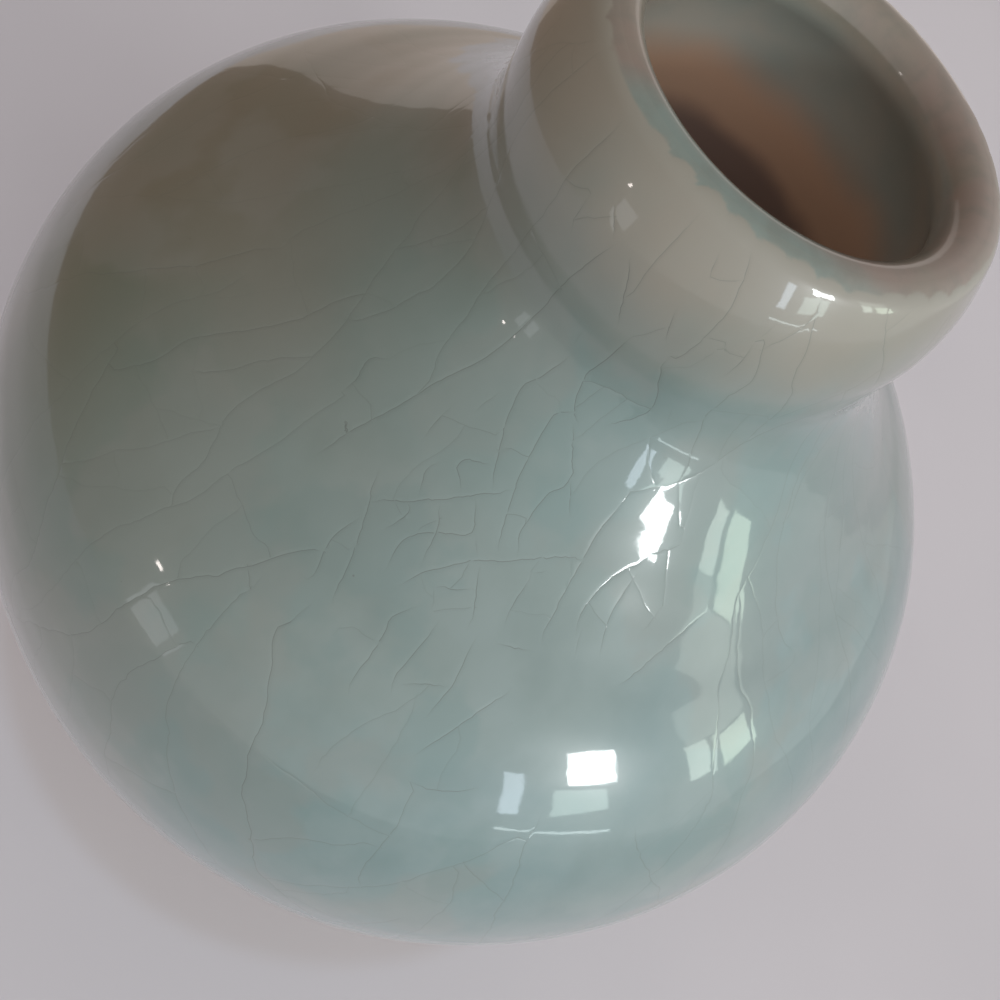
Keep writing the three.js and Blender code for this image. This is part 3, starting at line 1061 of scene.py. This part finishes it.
def celadon(name):
    """Grey-green glaze: greener where thick, pinkish brown where thin, stained in its cracks; olive-brown
    towards one side, partly its own tone and partly painted shade.
    """
    look = Look(name, 0.3, coat=1.0)
    thickness = look.attribute("thickness")
    # Painted shade, partly the glaze's own tone: olive-brown grows towards the side away from the lamps
    toward_brown_and_shaded_side = look.uneven(look.reach(toward(-115, -15) / MM), 38, 20)
    brown = look.mix(look.ramp(look.noise(34), 0.4, 0.6), GLAZE_OLIVE, GLAZE_BROWN)
    neck_height = look.uneven(look.height(), 20, 20)
    streak = look.noise(7, stretch=(1, 1, 0.22))
    layers = [
        (look.ramp(look.noise(9, detail=4), 0.3, 0.7, 0, 0.5), GLAZE_MOTTLE),
        (look.ramp(streak, 0.45, 0.75, 0, 0.35), GLAZE_STREAK),
        (look.ramp(look.noise(15, detail=4), 0.5, 0.57, 0, 0.4), GLAZE_TEAL),
        (look.ramp(toward_brown_and_shaded_side, -56, 18, 0, 0.95), brown),
        (look.ramp(look.noise(24, detail=4), 0.5, 0.56, 0, 0.25), GLAZE_PALE),
        (look.ramp(neck_height, SHOULDER_HEIGHT + 21, SHOULDER_HEIGHT + 37, 0, 0.7), GLAZE_BUFF),
        (look.ramp(thickness, 0.1, 0.8, 0, 0.4), GLAZE_THICK),
        (look.ramp(thickness, -0.12, -0.42, 0, 0.75), GLAZE_THIN),
        (look.ramp(look.attribute("rim"), 0, 1, 0, 0.9), rim_colour(look)),
        (look.ramp(look.cells(9), 0.022, 0.01, 0, 0.6), SPECK),
        (look.ramp(look.attribute("crack"), 0, 1, 0, 0.7), STAIN),
    ]
    colour = look.mix(look.ramp(look.noise(42), 0.35, 0.65), GLAZE_BLUE, GLAZE_GREEN)
    for share, layer in layers:
        colour = look.mix(share, colour, layer)
    normal = look.bump([(look.noise(2.6, detail=2), 0.007), (look.noise(0.5, detail=1), 0.0012)])
    return look.finish(colour, normal)


def liner(name):
    """The same glaze inside, with painted shade: browner and darker down in the body."""
    look = Look(name, 0.3, coat=1.0)
    below_crest = look.math("SUBTRACT", LIP_CENTRE_HEIGHT + LIP_RADIUS, look.height())
    below = look.uneven(below_crest, 16, 5)
    colour = look.mix(look.ramp(look.noise(14, detail=4), 0.35, 0.65), LINER_GREEN, LINER_BUFF)
    # Painted shade: warm brown and then dark further below the crest, where less light reaches
    colour = look.mix(look.ramp(below, 12.5, 19), colour, LINER_WARM_SHADE)
    colour = look.mix(look.ramp(below, 21.5, 25), colour, LINER_DEEP_SHADE)
    colour = look.mix(look.ramp(below_crest, 5, 1.6), colour, rim_colour(look))
    return look.finish(colour, look.bump([(look.noise(3, detail=2), 0.02)]))


def clay(name, pale, dark, speck, turning=0.0):
    """Bare fired clay: mottled, gritty, with dark specks and fine turning lines."""
    look = Look(name, 0.8)
    colour = look.mix(look.ramp(look.noise(9, detail=5), 0.3, 0.7), dark, pale)
    colour = look.mix(look.ramp(look.noise(0.9, detail=2), 0.45, 0.75, 0, 0.35), colour, speck)
    colour = look.mix(look.ramp(look.cells(1.6), 0.2, 0.08, 0, 0.8), colour, speck)
    layers = [(look.noise(0.35, detail=3), 0.05), (look.noise(2.5, detail=2), 0.05)]
    if turning:
        lines = look.node(
            "ShaderNodeTexWave", {"Vector": look.place, "Scale": 0.16 / (turning * MM), "Distortion": 0.8},
            "Fac", wave_type="RINGS", rings_direction="Z",
        )
        layers.append((lines, 0.03))
    roughness = look.ramp(look.noise(3), 0.3, 0.7, 0.7, 0.9)
    return look.finish(colour, look.bump(layers), roughness)


celadon_glaze = celadon("celadon_glaze")
liner_glaze = liner("liner_glaze")

# Each clay with its pale and dark colour, its specks and the width of its turning lines in millimetres
foot_clay = clay("foot_clay", (0.4, 0.25, 0.16, 1), (0.3, 0.17, 0.105, 1), (0.13, 0.07, 0.045, 1), 0.6)
body_clay = clay("body_clay", (0.5, 0.42, 0.34, 1), (0.4, 0.31, 0.24, 1), (0.2, 0.14, 0.1, 1), 0.9)
joint_clay = clay("joint_clay", (0.44, 0.37, 0.3, 1), (0.34, 0.28, 0.22, 1), (0.18, 0.13, 0.1, 1))

celadon_skin(celadon_glaze)

# The liner, its face at the thickness of its coat and its back against the clay
places = np.linspace(0, inside_length[-1], 240)
front = resampled(inside, inside_length, places)
rear = shifted(front[places <= inside_length[-1] - CREST_OVERLAP], LINER_COAT)
liner_face = front.copy()
liner_face[:, :2] += front[:, 2:4] * (LINER_COAT - front[:, COAT])[:, None]
turned_solid(
    "liner_skin", np.vstack([rear, liner_face[::-1]]), 240, ["liner_glaze"], liner_glaze
)


def foot_relief(ring):
    """Small hollows in the bare clay of the foot, in millimetres."""
    return np.minimum(0, FOOT_RELIEF * waves(ring, length=3, seed=21) - FOOT_RELIEF)


# Bare clay at the foot, and the glaze inside the foot ring
foot_top = FOOT_HEIGHT - SEAT
outer_foot = FOOT_RADIUS - FOOT_DRAFT
inner_foot = outer_foot - FOOT_WIDTH
turned_solid(
    "foot_ring_clay",
    rounded(
        [(inner_foot, 0), (outer_foot, 0), (FOOT_RADIUS, foot_top), (inner_foot - FOOT_DRAFT, foot_top)],
        [FOOT_BEVEL, FOOT_BEVEL, 0.25, 0.25], 0.7,
    ),
    200, ["foot_ring"], foot_clay, foot_relief,
)
base_edge = inner_foot - FOOT_DRAFT - BASE_GLAZE_MARGIN
turned_solid(
    "base_glaze_pool",
    rounded(
        [(0, foot_top - BASE_COAT), (base_edge - BASE_COAT / 2, foot_top - BASE_COAT), (base_edge, foot_top),
         (0, foot_top)],
        [0, BASE_COAT / 2, 0.1, 0], 1.2,
    ),
    160, ["base_glaze"], celadon_glaze,
)

# The clay bowl between the glazes, up to the belly joint
clay_outer = shifted(bowl(between(roll_edge, 1)), -CLAY_DEPTH)[::3]
under_joint = inside[:, Z] + inside[:, NZ] * CLAY_UNDER_LINER < BELLY_HEIGHT
clay_inner = shifted(inside[under_joint], CLAY_UNDER_LINER)[::3, :4]
base_line = np.array([(share * BASE_RADIUS, FOOT_HEIGHT, 0, -1) for share in (0, 0.5, 1)])
turned_solid(
    "lower_body_clay", np.vstack([base_line, clay_outer, clay_inner[::-1]]),
    200, ["lower_body"], body_clay,
)
for node_name, material in (("upper_body", body_clay), ("neck_collar", body_clay), ("neck_lute", joint_clay)):
    carried = bpy.data.objects[node_name]
    for slot in carried.material_slots:
        slot.material = material


def area_lamp(name, azimuth, elevation, width, height, radiance, colour, in_reflections=True):
    """A soft box that faces the belly from a direction, its sizes in degrees seen from there."""
    data = bpy.data.lights.new(name, "AREA")
    data.shape = "RECTANGLE"
    data.size = 2 * LAMP_DISTANCE * math.tan(math.radians(width) / 2)
    data.size_y = 2 * LAMP_DISTANCE * math.tan(math.radians(height) / 2)
    data.energy = radiance * math.pi * data.size * data.size_y
    data.color = colour
    lamp = placed(name, data)
    direction = toward(azimuth, elevation)
    lamp.rotation_mode = "QUATERNION"
    lamp.rotation_quaternion = direction.to_track_quat("Z", "Y")
    lamp.location = direction * LAMP_DISTANCE + Vector((0, 0, BELLY_HEIGHT * MM))
    lamp.visible_glossy = in_reflections
    lamp.visible_camera = False


# The ceiling lamp only gives light and shadow. The others also show in the glaze, as panes and walls.
area_lamp("ceiling", 230, 87.5, 3, 3, 130, (0.6, 0.85, 1.1), in_reflections=False)
area_lamp("window_bright", 63.5, 23.5, 9, 8, 24, (0.95, 1.0, 1.0))
area_lamp("window_dim", 61, 13.5, 10, 8, 3.6, (0.8, 1.0, 0.93))
area_lamp("window_sill", 57, 3, 20, 1.2, 5, (0.85, 1.0, 1.0))
area_lamp("window_crescent", 48.5, 16.5, 3.5, 13, 6, (0.75, 0.88, 1.0))
area_lamp("window_green_left", 84.7, 16.5, 4.5, 9.5, 4.2, (0.85, 1.0, 0.88))
area_lamp("window_green_right", 92.5, 15.8, 7, 10, 4.2, (0.82, 1.0, 0.8))
area_lamp("window_green_haze", 90, 26, 13, 9, 1.3, (0.9, 1.0, 0.9))
area_lamp("far_lamp", -30, 11, 1.5, 1.5, 20, (1.0, 0.9, 0.85))
area_lamp("far_wall", -23, -0.5, 9, 10, 1.0, (0.9, 0.95, 1.0))
area_lamp("pale_wall", -158, -5, 63, 42, 0.3, (1.0, 0.94, 0.91))


# Light of the world and the backdrop seen in it. A lobe: azimuth, elevation, power and colour
DIM_BACKDROP = (0.2, 0.13, 0.09, 1)
BRIGHT_BACKDROP = (1.2, 1.2, 1.22, 1)
BACKDROP_FALL = 1.5
AMBIENT = (0.12, 0.095, 0.08, 1)
LEAST_COSINE = 0.5
LOBES = [
    (18, 15, 3, (0.5, 0.28, 0.17, 1)),
    (54, 15, 3, (0.94, 1.1, 1.18, 1)),
    (60, 40, 3, (0.55, 0.66, 0.74, 1)),
    (120, 15, 3, (0.28, 0.22, 0.16, 1)),
]
world = bpy.data.worlds.new("studio")
world.use_nodes = True
sky = Graph(world.node_tree, "Generated")
light = AMBIENT
for azimuth, elevation, power, colour in LOBES:
    near = sky.math("MAXIMUM", sky.reach(toward(azimuth, elevation)), LEAST_COSINE)
    light = sky.mix(sky.math("POWER", near, power), light, colour, "ADD")
to_window = sky.math("MULTIPLY_ADD", sky.reach(toward(60, 20)), 0.5, 0.5)
backdrop = sky.mix(sky.math("POWER", to_window, BACKDROP_FALL), DIM_BACKDROP, BRIGHT_BACKDROP)

# The backdrop is what is seen, straight, in gloss or through glass. The lobes only give light.
rays = sky.tree.nodes.new("ShaderNodeLightPath").outputs
seen = sky.math("MAXIMUM", rays["Is Camera Ray"], rays["Is Glossy Ray"])
seen = sky.math("MAXIMUM", seen, rays["Is Transmission Ray"])
sky.tree.links.new(sky.mix(seen, light, backdrop), sky.tree.nodes["Background"].inputs["Color"])
bpy.context.scene.world = world
bpy.context.scene.view_settings.view_transform = "Standard"

# Plain pale table top
table_middle = TABLE_SHIFT * toward(TABLE_SHIFT_AZIMUTH, 0)
mesh = bpy.data.meshes.new("table")
turns = np.arange(TABLE_SIDES) * 2 * math.pi / TABLE_SIDES
mesh.from_pydata(
    [TABLE_RADIUS * Vector((math.cos(turn), math.sin(turn), 0)) + table_middle for turn in turns], [],
    [list(range(TABLE_SIDES))],
)
table = placed("table", mesh)
look = Look("table", 0.7)
grain = look.mix(look.ramp(look.noise(160), 0.35, 0.65), (0.575, 0.53, 0.545, 1), (0.61, 0.56, 0.575, 1))
mesh.materials.append(look.finish(grain, look.bump([(look.noise(2), 0.01)])))
